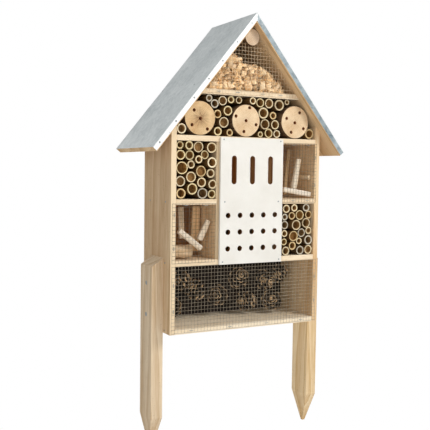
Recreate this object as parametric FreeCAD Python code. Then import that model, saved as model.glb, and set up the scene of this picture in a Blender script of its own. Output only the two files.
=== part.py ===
import FreeCAD
import Part
import math
import os

# Insect hotel on two ground stakes. Millimetres, X across, Y from front to back, Z up.
# The origin is on the ground line of the stake points, in the middle of the width and of the roof's depth.

Vector = FreeCAD.Vector

# ---- carcass ----
house_width = 305.0
house_depth = 113.0
wall_thickness = 10.0
shelf_thickness = 9.5
divider_thickness = 9.5
back_thickness = 5.0
divider_setback = 3.0
board_edge_radius = 0.6

# clear heights of the bays, from the bottom up
cone_bay_height = 107.5
lower_bay_height = 95.5
upper_bay_height = 99.5
log_bay_height = 71.5
wall_rise = 12.2

# ---- roof ----
roof_pitch = math.radians(50.6)
roof_board_thickness = 10.0
sheet_thickness = 0.6
sheet_lip = 9.0
eave_overhang = 42.0
front_overhang = 18.5
back_overhang = 33.5

# ---- white panel ----
panel_width = 129.0
panel_thickness = 5.0
panel_offset = 4.0
panel_edge_radius = 0.8
panel_top_reveal = 1.5
chamber_width = 118.0
slot_width = 10.0
slot_height = 50.0
slot_spacing = 37.4
slot_count = 3
slot_above_middle_shelf = 26.0
hole_radius = 4.75
hole_spacing = 24.2
hole_row_spacing = 29.2
hole_columns = 5
hole_rows = 3
hole_above_lower_shelf = 18.0

# ---- wire mesh ----
mesh_pitch = 6.35
wire_thickness = 0.7
mesh_lap = 7.5
mesh_roof_gap = 0.8
mesh_sheet_gap = 0.6
mesh_panel_gap_left = 2.0
mesh_panel_gap_right = 0.5

# ---- ground stakes ----
stake_width = 21.5
stake_depth = 48.0
stake_below_house = 207.0
stake_above_floor = 115.0
stake_top_rise = 15.0
stake_point = 57.0
stake_tip = 5.0
stake_behind_front = 27.7

# ---- filling ----
log_hole_radius = 2.75
log_hole_depth = 60.0
log_end_gap = 8.0
apex_log_radius = 15.0
apex_log_length = 40.0
apex_log_proud = 4.0
apex_log_clearance = 0.5
cane_wall = 2.0
cane_end_gap = 8.0
piece_clearance = 0.3
wool_depth_gap = 6.0

# ---- fasteners ----
panel_nail_inset = 6.0
panel_nail_shelf_inset = 9.0
panel_nail_length = 20.0
panel_nail_radius = 0.7
panel_nail_head_radius = 1.3
nail_head_height = 0.3
brad_length = 25.0
back_brad_length = 20.0
brad_radius = 0.8
brad_head_radius = 1.6
brad_head_height = 0.4
small_nail_length = 9.0
small_nail_radius = 0.6
small_nail_head_radius = 1.5
slope_nail_behind_front = 12.0
slope_nail_before_back = 5.0
screw_length = 30.0
screw_radius = 2.0
screw_head_radius = 4.0
screw_sink = 0.2
screw_rises = (30.0, 85.0)
staple_leg = 7.0
staple_wire = 0.7

# ---- levels and faces that follow from the sizes above ----
front = -(front_overhang + house_depth + back_overhang) / 2 + front_overhang
back = front + house_depth
back_front = back - back_thickness
bay_depth = back_front - front
half_width = house_width / 2
inner = half_width - wall_thickness
floor_z = stake_below_house
base_top = floor_z + shelf_thickness
lower_z = base_top + cone_bay_height
lower_top = lower_z + shelf_thickness
middle_z = lower_top + lower_bay_height
middle_top = middle_z + shelf_thickness
top_z = middle_top + upper_bay_height
top_top = top_z + shelf_thickness
gable_z = top_top + log_bay_height
gable_top = gable_z + shelf_thickness
chamber_left = panel_offset - chamber_width / 2
chamber_right = panel_offset + chamber_width / 2
left_bay_edge = chamber_left - divider_thickness
right_bay_edge = chamber_right + divider_thickness
panel_left = panel_offset - panel_width / 2
panel_right = panel_offset + panel_width / 2
slope_tan = math.tan(roof_pitch)
slope_cos = math.cos(roof_pitch)
slope_sin = math.sin(roof_pitch)
ridge_under = top_top + wall_rise + half_width * slope_tan
ridge_board = ridge_under + roof_board_thickness / slope_cos
ridge_top = ridge_board + sheet_thickness / slope_cos
slope_length = (half_width + eave_overhang) / slope_cos
roof_front = front - front_overhang
roof_back = back + back_overhang


def roof_underside(x):
    return ridge_under - abs(x) * slope_tan


def box(x0, x1, y0, y1, z0, z1):
    return Part.makeBox(x1 - x0, y1 - y0, z1 - z0, Vector(x0, y0, z0))


def prism(outline, y0, y1):
    """A closed outline of (x, z) points, pushed from y0 to y1."""
    points = [Vector(x, y0, z) for x, z in outline]
    wire = Part.makePolygon(points + points[:1])
    return Part.Face(wire).extrude(Vector(0, y1 - y0, 0))


def mirrored(outline, side):
    return [(side * x, z) for x, z in outline]


def soften(shape, radius):
    return shape.makeFillet(radius, shape.Edges)


# ---- roof ----

def slope_point(along, below, side=1):
    """A point on a roof slope: its distance down from the ridge, and its depth under the sheet's face."""
    x = along * slope_cos - below * slope_sin
    z = ridge_top - along * slope_sin - below * slope_cos
    return (side * x, z)


def slope_band(upper, lower):
    """The outline of one slope's layer between two depths under the sheet's face, mitred at the ridge."""
    ridge_upper = (0, ridge_top - upper / slope_cos)
    ridge_lower = (0, ridge_top - lower / slope_cos)
    return [ridge_upper, slope_point(slope_length, upper), slope_point(slope_length, lower), ridge_lower]


def roof_board(side):
    band = slope_band(sheet_thickness, sheet_thickness + roof_board_thickness)
    outline = mirrored(band, side)
    return prism(outline, roof_front + sheet_thickness, roof_back - sheet_thickness)


def roof_sheet():
    """One sheet folded over the ridge, with a lip turned down over the boards' front and back edges."""
    pieces = []
    for side in (-1, 1):
        skin = mirrored(slope_band(0, sheet_thickness), side)
        lip = mirrored(slope_band(0, sheet_lip), side)
        pieces.append(prism(skin, roof_front, roof_back))
        pieces.append(prism(lip, roof_front, roof_front + sheet_thickness))
        pieces.append(prism(lip, roof_back - sheet_thickness, roof_back))
    return pieces[0].multiFuse(pieces[1:]).removeSplitter()


# ---- carcass ----

def side_wall(side):
    outline = [(inner, floor_z), (half_width, floor_z)]
    outline += [(half_width, roof_underside(half_width)), (inner, roof_underside(inner))]
    return soften(prism(mirrored(outline, side), front, back), board_edge_radius)


def shelf(x0, x1, z0):
    return soften(box(x0, x1, front, back_front, z0, z0 + shelf_thickness), board_edge_radius)


def gable_shelf():
    low = (ridge_under - gable_z) / slope_tan
    high = (ridge_under - gable_top) / slope_tan
    outline = [(-low, gable_z), (low, gable_z), (high, gable_top), (-high, gable_top)]
    return soften(prism(outline, front, back_front), board_edge_radius)


def divider(x0):
    x1 = x0 + divider_thickness
    return soften(box(x0, x1, front + divider_setback, back_front, lower_top, top_z), board_edge_radius)


def back_panel():
    eave = roof_underside(inner)
    outline = [(-inner, floor_z), (inner, floor_z), (inner, eave), (0, ridge_under), (-inner, eave)]
    return prism(outline, back_front, back)


# ---- white panel ----

def slot(x, z0):
    """A round-ended slot through the panel, standing upright, cut as one block and two cylinders."""
    r = slot_width / 2
    y0 = front - panel_thickness - 1
    depth = panel_thickness + 2
    body = box(x - r, x + r, y0, y0 + depth, z0 + r, z0 + slot_height - r)
    ends = [Part.makeCylinder(r, depth, Vector(x, y0, z), Vector(0, 1, 0))
            for z in (z0 + r, z0 + slot_height - r)]
    return body.multiFuse(ends)


def butterfly_panel():
    top = top_top - panel_top_reveal
    plain = box(panel_left, panel_right, front - panel_thickness, front, lower_z, top)
    panel = soften(plain, panel_edge_radius)
    cuts = []
    for i in range(slot_count):
        x = panel_offset + (i - (slot_count - 1) / 2) * slot_spacing
        cuts.append(slot(x, middle_top + slot_above_middle_shelf))
    for row in range(hole_rows):
        for column in range(hole_columns):
            x = panel_offset + (column - (hole_columns - 1) / 2) * hole_spacing
            z = lower_top + hole_above_lower_shelf + row * hole_row_spacing
            start = Vector(x, front - panel_thickness - 1, z)
            cuts.append(Part.makeCylinder(hole_radius, panel_thickness + 2, start, Vector(0, 1, 0)))
    return panel.cut(cuts)


# ---- wire mesh ----

class Mesh:
    """A sheet of square welded mesh in front of the boards, cut from a rectangle that holds its outline."""

    def __init__(self, x0, x1, z0, z1):
        self.x0 = x0
        self.z0 = z0
        self.columns = int((x1 - x0 - wire_thickness) / mesh_pitch)
        self.rows = int((z1 - z0 - wire_thickness) / mesh_pitch)
        self.x1 = x0 + self.columns * mesh_pitch + wire_thickness
        self.z1 = z0 + self.rows * mesh_pitch + wire_thickness

    def square(self, i, j):
        low_x = self.x0 + wire_thickness + i * mesh_pitch
        low_z = self.z0 + wire_thickness + j * mesh_pitch
        size = mesh_pitch - wire_thickness
        corners = [(low_x, low_z), (low_x + size, low_z), (low_x + size, low_z + size), (low_x, low_z + size)]
        points = [Vector(x, front - wire_thickness, z) for x, z in corners]
        return Part.makePolygon(points + points[:1])

    def middle(self, i, j):
        """The middle of one square opening."""
        half = (mesh_pitch + wire_thickness) / 2
        return (self.x0 + half + i * mesh_pitch, self.z0 + half + j * mesh_pitch)

    def nearest(self, x, z):
        """The square opening whose middle is nearest to a place, as column and row."""
        first_x, first_z = self.middle(0, 0)
        i = round((x - first_x) / mesh_pitch)
        j = round((z - first_z) / mesh_pitch)
        return (min(max(i, 0), self.columns - 1), min(max(j, 0), self.rows - 1))

    def squares(self):
        return [self.square(i, j) for i in range(self.columns) for j in range(self.rows)]

    def sheet(self):
        outline = [(self.x0, self.z0), (self.x1, self.z0), (self.x1, self.z1), (self.x0, self.z1)]
        points = [Vector(x, front - wire_thickness, z) for x, z in outline]
        wires = [Part.makePolygon(points + points[:1])] + self.squares()
        face = Part.makeFace(wires, "Part::FaceMakerBullseye")
        return face.extrude(Vector(0, wire_thickness, 0))

    def cut_to(self, face):
        """The same mesh trimmed to a flat face that lies in its front plane."""
        openings = [Part.Face(wire) for wire in self.squares()]
        trimmed = face.cut(openings)
        largest = max(trimmed.Faces, key=lambda part: part.Area)
        return largest.extrude(Vector(0, wire_thickness, 0))


def gable_outline():
    """The gable mesh's outline: it stops short of the roof boards and goes round the small log."""
    low_z = gable_top - mesh_lap
    reach = (ridge_under - low_z) / slope_tan - mesh_roof_gap / slope_sin
    peak = low_z + reach * slope_tan
    y = front - wire_thickness
    points = [Vector(-reach, y, low_z), Vector(reach, y, low_z), Vector(0, y, peak)]
    face = Part.Face(Part.makePolygon(points + points[:1]))
    hole = Part.makeCircle(apex_log_radius + apex_log_clearance, Vector(0, y, apex_log_z()), Vector(0, 1, 0))
    around_log = Part.Face(Part.Wire([hole]))
    above_log = prism([(-reach, apex_log_z()), (reach, apex_log_z()), (0, peak + reach)], y - 1, y + 1)
    return face.cut([around_log, above_log])


# ---- ground stakes ----

def stake(side):
    """Bevelled at the top so that rain runs off, with a four-sided point at the bottom."""
    x0 = half_width
    x1 = half_width + stake_width
    y0 = front + stake_behind_front
    y1 = y0 + stake_depth
    shoulder = stake_point
    outline = [(x0, shoulder), (x1, shoulder), (x1, floor_z + stake_above_floor)]
    outline.append((x0, floor_z + stake_above_floor + stake_top_rise))
    body = prism(mirrored(outline, side), y0, y1)
    middle_x = side * (x0 + x1) / 2
    middle_y = (y0 + y1) / 2
    top = rectangle(side * x0, side * x1, y0, y1, shoulder)
    half_tip = stake_tip / 2
    tip = rectangle(middle_x - side * half_tip, middle_x + side * half_tip,
                    middle_y - half_tip, middle_y + half_tip, 0)
    point = Part.makeLoft([top, tip], True, True)
    return body.fuse(point).removeSplitter()


def rectangle(x0, x1, y0, y1, z):
    points = [Vector(x0, y0, z), Vector(x1, y0, z), Vector(x1, y1, z), Vector(x0, y1, z)]
    return Part.makePolygon(points + points[:1])


# ---- filling: round pieces are laid out in their bay, then eased apart until none touches ----

def ease_apart(places, radii, planes):
    """Moves round pieces, each as little as it needs, until they clear each other and the bay's faces.
    A plane is (normal pointing into the bay, a point on it). Where the bay is too small for the
    pieces as they are, all of them get thinner by the same factor. Returns places and radii."""
    scale = 1.0
    while True:
        spots = list(places)
        thin = [radius * scale for radius in radii]
        for step in range(400):
            worst = ease_once(spots, thin, planes)
            if worst < piece_clearance / 3:
                return spots, thin
        scale *= 0.98


def ease_once(spots, radii, planes):
    worst = 0.0
    for a in range(len(spots)):
        for b in range(a):
            apart = spots[a] - spots[b]
            overlap = radii[a] + radii[b] + piece_clearance - apart.Length
            if overlap > 0:
                worst = max(worst, overlap)
                push = apart * (overlap / 2 / apart.Length)
                spots[a] = spots[a] + push
                spots[b] = spots[b] - push
    for a in range(len(spots)):
        for normal, point in planes:
            short = radii[a] + piece_clearance / 3 - (spots[a] - point).dot(normal)
            if short > 0:
                worst = max(worst, short - piece_clearance / 6)
                spots[a] = spots[a] + normal * short
    return worst


def bay_planes(x0, x1, z0, z1):
    low = Vector(x0, 0, z0)
    high = Vector(x1, 0, z1)
    return [(Vector(1, 0, 0), low), (Vector(0, 0, 1), low), (Vector(-1, 0, 0), high), (Vector(0, 0, -1), high)]


def roof_planes():
    peak = Vector(0, 0, ridge_under)
    return [(Vector(side * slope_sin, 0, -slope_cos), peak) for side in (-1, 1)]


def lay_out(layout, size, x0, x1, z0, z1, planes):
    """A layout is a list of (across, up, radius), drawn for a bay of the given size."""
    places = []
    for across, up, radius in layout:
        x = x0 + across * (x1 - x0) / size[0]
        places.append(Vector(x, 0, z0 + up * (z1 - z0) / size[1]))
    return ease_apart(places, [radius for across, up, radius in layout], planes)


def cane(spot, radius, number):
    """A hollow cane that lies front to back. Its front end stands 1 to 6 mm back from the boards."""
    start = front + 1 + (number * 7) % 6
    length = bay_depth - cane_end_gap
    outside = Part.makeCylinder(radius, length, Vector(spot.x, start, spot.z), Vector(0, 1, 0))
    bore = Part.makeCylinder(radius - cane_wall, length, Vector(spot.x, start, spot.z), Vector(0, 1, 0))
    return outside.cut(bore)


def canes(spots, radii):
    return [cane(spot, radius, number) for number, (spot, radius) in enumerate(zip(spots, radii))]


# canes of the left upper bay and the right lower bay: across, up and radius in a bay of the size given
left_layout_size = (78.0, 99.5)
left_layout = [
    (9.2, 10.0, 8.9), (31.0, 17.8, 10.0), (51.3, 9.6, 9.8), (70.2, 8.6, 8.0),
    (9.8, 30.5, 9.3), (51.0, 27.8, 8.8), (70.0, 25.8, 8.3),
    (28.5, 38.0, 9.4), (11.5, 53.3, 11.0), (48.6, 48.0, 9.8), (67.8, 44.6, 8.2),
    (30.2, 59.5, 7.4), (68.4, 63.2, 9.4), (43.0, 68.2, 7.0), (9.0, 75.4, 8.7),
    (25.5, 75.8, 8.6), (56.0, 76.5, 7.8), (9.0, 92.0, 7.0), (24.0, 91.4, 7.8),
    (42.0, 89.5, 9.6), (68.3, 88.8, 9.6),
]
right_layout_size = (70.0, 95.5)
right_layout = [
    (9.0, 8.6, 8.3), (41.5, 8.8, 8.5), (60.5, 9.4, 8.7), (25.5, 17.4, 8.0),
    (7.5, 25.0, 6.6), (41.5, 25.8, 6.4), (59.0, 27.6, 9.0), (26.4, 35.6, 9.8),
    (7.0, 40.6, 6.5), (45.2, 41.0, 8.4), (62.0, 44.8, 7.2), (9.0, 56.0, 8.0),
    (31.4, 56.0, 9.8), (54.0, 59.4, 9.2), (7.0, 71.0, 6.5), (23.4, 73.0, 7.3),
    (41.5, 74.0, 9.3), (61.5, 75.5, 7.6), (9.0, 86.2, 7.9), (27.3, 87.7, 7.0),
    (55.0, 87.6, 7.6),
]
# the log bay's layout starts with the three logs, and is as wide as the space between the side walls
log_layout_size = (285.0, 71.5)
log_layout = [
    (43.5, 29.6, 29.5), (134.6, 28.7, 28.7), (238.2, 30.2, 30.0),
    (8.8, 10.6, 9.0), (61.5, 64.4, 6.4), (73.0, 55.5, 7.8), (89.2, 61.6, 8.4),
    (106.5, 64.4, 6.7), (123.0, 64.6, 6.6), (148.6, 64.4, 6.6), (164.4, 61.8, 8.4),
    (183.8, 61.8, 8.9), (206.2, 59.8, 10.2), (223.6, 66.0, 5.2), (80.6, 38.4, 7.6),
    (98.2, 44.6, 8.8), (91.0, 24.2, 9.6), (79.8, 8.4, 7.9), (104.0, 6.9, 6.7),
    (173.4, 44.2, 10.4), (194.6, 40.6, 7.2), (175.0, 23.4, 9.4), (196.6, 24.2, 8.6),
    (166.4, 6.0, 5.6), (184.0, 8.8, 8.6), (202.6, 8.0, 7.4), (275.0, 10.6, 9.6),
]
log_hole_patterns = {
    "log_left": [(-0.39, 0.44), (-0.52, -0.41), (0.48, -0.62), (0.02, -0.03)],
    "log_center": [(0.24, 0.80), (-0.72, 0.25), (0.0, 0.0), (0.72, -0.22), (-0.14, -0.67)],
    "log_right": [(0.34, 0.59), (-0.60, 0.21), (0.0, -0.03), (0.64, -0.36), (-0.26, -0.61)],
}


def log(spot, radius, pattern):
    """A peeled log, front to back, drilled from its front end. Hole places are shares of its radius."""
    length = bay_depth - log_end_gap
    body = Part.makeCylinder(radius, length, Vector(spot.x, front, spot.z), Vector(0, 1, 0))
    drills = []
    for across, up in pattern:
        start = Vector(spot.x + across * radius, front - 1, spot.z + up * radius)
        drills.append(Part.makeCylinder(log_hole_radius, log_hole_depth + 1, start, Vector(0, 1, 0)))
    return body.cut(drills)


def apex_log_z():
    return ridge_under - apex_log_radius / slope_cos


def apex_log():
    start = Vector(0, front - apex_log_proud, apex_log_z())
    return Part.makeCylinder(apex_log_radius, apex_log_length, start, Vector(0, 1, 0))


def log_bay():
    planes = bay_planes(-inner, inner, top_top, gable_z) + roof_planes()
    spots, radii = lay_out(log_layout, log_layout_size, -inner, inner, top_top, gable_z, planes)
    nodes = {}
    for number, (name, pattern) in enumerate(log_hole_patterns.items()):
        nodes[name] = log(spots[number], radii[number], pattern)
    log_count = len(log_hole_patterns)
    nodes["canes_log_bay"] = canes(spots[log_count:], radii[log_count:])
    return nodes


def side_canes():
    left_planes = bay_planes(-inner, left_bay_edge, middle_top, top_z)
    right_planes = bay_planes(right_bay_edge, inner, lower_top, middle_z)
    left = lay_out(left_layout, left_layout_size, -inner, left_bay_edge, middle_top, top_z, left_planes)
    right = lay_out(right_layout, right_layout_size, right_bay_edge, inner, lower_top, middle_z, right_planes)
    return {"canes_left_bay": canes(*left), "canes_right_bay": canes(*right)}


# sticks: ends as shares of the bay's width and height, the front face as a share of its depth,
# then the stick's height on edge and its thickness front to back in mm
left_sticks = {
    "splint_long": ((0.12, 0.54), (0.66, 0.20), 0.03, 10.5, 9.0),
    "splint_short": ((0.68, 0.35), (0.90, 0.70), 0.12, 11.0, 9.0),
    "bark_chunk": ((0.07, 0.15), (0.52, 0.15), 0.13, 24.0, 20.0),
    "splint_upright": ((0.41, 0.36), (0.38, 0.94), 0.37, 12.0, 9.0),
    "splint_broad": ((0.82, 0.10), (0.86, 0.94), 0.50, 17.0, 6.0),
}
right_sticks = {
    "board_leaning": ((0.05, 0.165), (0.91, 0.075), 0.02, 9.5, 6.5),
    "stick_broad": ((0.50, 0.16), (0.64, 0.73), 0.12, 11.0, 9.0),
    "stick_pointing": ((0.86, 0.385), (0.98, 0.395), 0.09, 9.0, 46.0),
    "stick_thin_short": ((0.37, 0.06), (0.36, 0.67), 0.38, 7.0, 6.0),
    "stick_thin_tall": ((0.60, 0.06), (0.70, 0.91), 0.50, 8.0, 6.0),
}


def stick(x0, x1, z0, z1, ends, depth_share, height, thickness):
    start, stop = [Vector(x0 + across * (x1 - x0), 0, z0 + up * (z1 - z0)) for across, up in ends]
    run = stop - start
    side = run.cross(Vector(0, 1, 0)).normalize() * (height / 2)
    corners = [start - side, stop - side, stop + side, start + side]
    y0 = front + depth_share * bay_depth
    return prism([(corner.x, corner.z) for corner in corners], y0, y0 + thickness)


def sticks():
    nodes = {}
    for name, (start, stop, *sizes) in left_sticks.items():
        nodes[name] = stick(-inner, left_bay_edge, lower_top, middle_z, (start, stop), *sizes)
    for name, (start, stop, *sizes) in right_sticks.items():
        nodes[name] = stick(right_bay_edge, inner, middle_top, top_z, (start, stop), *sizes)
    return nodes


# pine cones: shares of the bay across, deep and up, radius, and the way the tip points
cone_layout = [
    ((0.09, 0.66, 0.24), 25.0, (-0.5, -0.6, 0.4)),
    ((0.14, 0.62, 0.66), 24.0, (0.8, -0.4, 0.3)),
    ((0.28, 0.72, 0.50), 24.0, (0.5, -0.5, -0.6)),
    ((0.42, 0.70, 0.42), 25.0, (-0.6, -0.7, 0.2)),
    ((0.55, 0.60, 0.62), 25.0, (-0.3, -0.9, 0.5)),
    ((0.63, 0.66, 0.24), 24.0, (0.7, -0.6, 0.1)),
    ((0.73, 0.50, 0.62), 24.0, (0.2, -0.9, -0.2)),
    ((0.82, 0.58, 0.22), 25.0, (-0.5, -0.8, 0.3)),
    ((0.89, 0.66, 0.68), 22.0, (0.6, -0.5, 0.5)),
]
cone_slenderness = 0.86
cone_blunt_share = 0.75


def pine_cone(spot, radius, aim):
    """A plain egg: a short blunt end and a longer tip, turned about its own axis."""
    wide = radius * cone_slenderness
    blunt = radius * cone_blunt_share
    outline = []
    for step in range(-4, 5):
        angle = step * math.pi / 8
        reach = radius if step > 0 else blunt
        outline.append((wide * math.cos(angle), reach * math.sin(angle)))
    curve = Part.BSplineCurve()
    curve.interpolate(Points=[Vector(x, 0, z) for x, z in outline],
                      InitialTangent=Vector(1, 0, 0), FinalTangent=Vector(-1, 0, 0))
    axis = Part.makeLine(Vector(0, 0, radius), Vector(0, 0, -blunt))
    face = Part.Face(Part.Wire([curve.toShape(), axis]))
    egg = face.revolve(Vector(0, 0, 0), Vector(0, 0, 1), 360)
    turn = FreeCAD.Rotation(Vector(0, 0, 1), Vector(*aim))
    egg.Placement = FreeCAD.Placement(spot, turn)
    return egg


def cone_bay():
    low = Vector(-inner, front, base_top)
    size = Vector(2 * inner, bay_depth, cone_bay_height)
    high = low + size
    planes = bay_planes(-inner, inner, base_top, lower_z)
    planes += [(Vector(0, 1, 0), low), (Vector(0, -1, 0), high)]
    places = [low + Vector(x * size.x, y * size.y, z * size.z) for (x, y, z), radius, aim in cone_layout]
    spots, radii = ease_apart(places, [radius for place, radius, aim in cone_layout], planes)
    nodes = {}
    for number, (spot, radius) in enumerate(zip(spots, radii)):
        nodes["pine_cone_%d" % (number + 1)] = pine_cone(spot, radius, cone_layout[number][2])
    return nodes


# the top of the wood wool: shares of the gable's half width and of its height
wool_profile = [(-0.84, 0.06), (-0.62, 0.27), (-0.42, 0.47), (-0.24, 0.52), (-0.06, 0.42), (0.14, 0.40),
                (0.36, 0.33), (0.54, 0.24), (0.76, 0.07)]


def wood_wool():
    half = (ridge_under - gable_top) / slope_tan
    height = ridge_under - gable_top
    y0 = front + wool_depth_gap
    y1 = back_front - wool_depth_gap
    crest = [Vector(x * half, y0, gable_top + z * height) for x, z in wool_profile]
    left_foot = Vector(crest[0].x, y0, gable_top)
    right_foot = Vector(crest[-1].x, y0, gable_top)
    curve = Part.BSplineCurve()
    curve.interpolate(crest)
    edges = [curve.toShape(), Part.makeLine(crest[-1], right_foot)]
    edges += [Part.makeLine(right_foot, left_foot), Part.makeLine(left_foot, crest[0])]
    return Part.Face(Part.Wire(edges)).extrude(Vector(0, y1 - y0, 0))


# ---- fasteners ----

def nail(head, aim, length, radius, head_radius, head_height):
    """A nail whose head lies on the surface at a point, and whose shank goes in along aim."""
    shank = Part.makeCylinder(radius, length, head, aim)
    cap = Part.makeCylinder(head_radius, head_height, head - aim * head_height, aim)
    return shank.fuse(cap).removeSplitter()


def brad(head, aim):
    return nail(head, aim, brad_length, brad_radius, brad_head_radius, brad_head_height)


def panel_nails():
    """Six nails: into the top, middle and lower shelves, one at each side of the panel."""
    levels = [
        (top_z + shelf_thickness * 0.4, panel_nail_inset),
        (middle_z + shelf_thickness / 2, panel_nail_shelf_inset),
        (lower_z + shelf_thickness / 2, panel_nail_inset),
    ]
    face = front - panel_thickness
    nails = []
    for z, inset in levels:
        for x in (panel_left + inset, panel_right - inset):
            head = Vector(x, face, z)
            nails.append(nail(head, Vector(0, 1, 0), panel_nail_length, panel_nail_radius,
                              panel_nail_head_radius, nail_head_height))
    return nails


def shelf_brads():
    """Two brads through the side wall into every shelf end beside it."""
    brads = []
    for z0 in (floor_z, lower_z, middle_z, top_z):
        for side in (-1, 1):
            for share in (0.2, 0.8):
                head = Vector(side * half_width, front + share * bay_depth, z0 + shelf_thickness / 2)
                brads.append(brad(head, Vector(-side, 0, 0)))
    return brads


def back_brads():
    """Brads through the back panel into the full-width shelves."""
    brads = []
    for z0 in (floor_z, lower_z, top_z, gable_z):
        for share in (-0.6, 0, 0.6):
            head = Vector(share * inner, back, z0 + shelf_thickness / 2)
            if z0 == gable_z:
                head.x = share * (ridge_under - gable_z) / slope_tan
            brads.append(nail(head, Vector(0, -1, 0), back_brad_length, brad_radius,
                              brad_head_radius, brad_head_height))
    return brads


def small_nail(head, aim):
    return nail(head, aim, small_nail_length, small_nail_radius, small_nail_head_radius, nail_head_height)


def lip_nails():
    """Short nails through the sheet's front and back lips into the edges of the roof boards."""
    stations = (0.07, 0.215, 0.36, 0.495, 0.635, 0.805, 0.955)
    nails = []
    for y, aim in ((roof_front, Vector(0, 1, 0)), (roof_back, Vector(0, -1, 0))):
        for side in (-1, 1):
            for station in stations:
                x, z = slope_point(station * slope_length, sheet_lip / 2, side)
                nails.append(small_nail(Vector(x, y, z), aim))
    return nails


def slope_nails():
    """Two nails through each slope of the sheet into its board."""
    nails = []
    for side in (-1, 1):
        inward = Vector(-side * slope_sin, 0, -slope_cos)
        for y in (front + slope_nail_behind_front, roof_back - slope_nail_before_back):
            x, z = slope_point(slope_length * 0.54, 0, side)
            nails.append(small_nail(Vector(x, y, z), inward))
    return nails


def screw_starts():
    """Where the screws' heads begin, just under the stakes' outer faces, with the side each is on."""
    starts = []
    for side in (-1, 1):
        x = side * (half_width + stake_width - screw_sink)
        y = front + stake_behind_front + stake_depth / 2
        starts += [(side, Vector(x, y, floor_z + rise)) for rise in screw_rises]
    return starts


def stake_screws():
    """Two countersunk screws through each stake into the side wall."""
    screws = []
    head_height = screw_head_radius - screw_radius
    for side, start in screw_starts():
        aim = Vector(-side, 0, 0)
        head = Part.makeCone(screw_head_radius, screw_radius, head_height, start, aim)
        shank = Part.makeCylinder(screw_radius, screw_length - screw_sink, start, aim)
        screws.append(head.fuse(shank).removeSplitter())
    return screws


def screw_pockets():
    """Where a screw head sits under the surface, the space above it is open too."""
    pockets = []
    for side, start in screw_starts():
        pockets.append(Part.makeCylinder(screw_head_radius, screw_sink + 1, start, Vector(side, 0, 0)))
    return pockets


def staple(mesh, i, j, along_x):
    """A staple over one wire of a mesh: its two legs go through neighbouring squares into the wood."""
    x, z = mesh.middle(i, j)
    half = staple_wire / 2
    y0 = front - wire_thickness - staple_wire
    y1 = front + staple_leg
    dx = mesh_pitch if along_x else 0
    dz = 0 if along_x else mesh_pitch
    crown = box(x - half, x + dx + half, y0, y0 + staple_wire, z - half, z + dz + half)
    legs = [box(px - half, px + half, y0, y1, pz - half, pz + half) for px, pz in ((x, z), (x + dx, z + dz))]
    return crown.multiFuse(legs).removeSplitter()


def staple_row(mesh, x, z, shares, along_x):
    """Staples along one edge: the edge's middle line is at x or z, the shares run along the mesh."""
    staples = []
    for share in shares:
        if along_x:
            i, j = mesh.nearest(mesh.x0 + share * (mesh.x1 - mesh.x0), z)
            i = min(i, mesh.columns - 2)
        else:
            i, j = mesh.nearest(x, mesh.z0 + share * (mesh.z1 - mesh.z0))
            j = min(j, mesh.rows - 2)
        staples.append(staple(mesh, i, j, along_x))
    return staples


def meshes():
    """The four mesh sheets, with their names."""
    wall_line = half_width - wall_thickness + mesh_lap
    seam = lower_z + shelf_thickness / 2
    left_edge = panel_left - mesh_panel_gap_left
    right_edge = panel_right + mesh_panel_gap_right
    bottom = Mesh(-wall_line, wall_line, base_top - mesh_lap, seam - mesh_sheet_gap / 2)
    left = Mesh(-wall_line, left_edge, seam + mesh_sheet_gap / 2, middle_z + mesh_lap)
    right = Mesh(right_edge, wall_line, middle_top - mesh_lap, top_z + mesh_lap)
    low_z = gable_top - mesh_lap
    reach = (ridge_under - low_z) / slope_tan
    gable = Mesh(-reach, reach, low_z, ridge_under)
    return {"mesh_bottom_bay": bottom, "mesh_left_bay": left, "mesh_right_bay": right, "mesh_gable": gable}


def mesh_staples(sheets):
    bottom = sheets["mesh_bottom_bay"]
    left = sheets["mesh_left_bay"]
    right = sheets["mesh_right_bay"]
    gable = sheets["mesh_gable"]
    wall = half_width - wall_thickness / 2
    half = shelf_thickness / 2
    staples = staple_row(bottom, 0, floor_z + half, (0.12, 0.38, 0.62, 0.88), True)
    staples += staple_row(bottom, -wall, 0, (0.3, 0.7), False)
    staples += staple_row(bottom, wall, 0, (0.3, 0.7), False)
    staples += staple_row(left, -wall, 0, (0.25, 0.75), False)
    staples += staple_row(left, 0, middle_z + half, (0.3, 0.7), True)
    staples += staple_row(right, wall, 0, (0.25, 0.75), False)
    staples += staple_row(right, 0, middle_z + half, (0.3, 0.7), True)
    staples += staple_row(right, 0, top_z + half, (0.3, 0.7), True)
    staples += staple_row(gable, 0, gable_z + half, (0.16, 0.37, 0.62, 0.79), True)
    return staples


# ---- the whole ----

def wooden_parts():
    nodes = {
        "side_wall_left": side_wall(-1),
        "side_wall_right": side_wall(1),
        "base_shelf": shelf(-inner, inner, floor_z),
        "lower_shelf": shelf(-inner, inner, lower_z),
        "top_shelf": shelf(-inner, inner, top_z),
        "middle_shelf_left": shelf(-inner, left_bay_edge, middle_z),
        "middle_shelf_center": shelf(chamber_left, chamber_right, middle_z),
        "middle_shelf_right": shelf(right_bay_edge, inner, middle_z),
        "gable_shelf": gable_shelf(),
        "divider_left": divider(left_bay_edge),
        "divider_right": divider(chamber_right),
        "back_panel": back_panel(),
        "roof_board_left": roof_board(-1),
        "roof_board_right": roof_board(1),
        "roof_sheet": roof_sheet(),
        "butterfly_panel": butterfly_panel(),
        "stake_left": stake(-1),
        "stake_right": stake(1),
    }
    return nodes


def with_pockets(shape, fasteners):
    """The shape with a snug pocket for every fastener that reaches into it."""
    near = [piece for piece in fasteners if piece.BoundBox.intersect(shape.BoundBox)]
    return shape.cut(near) if near else shape


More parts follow.
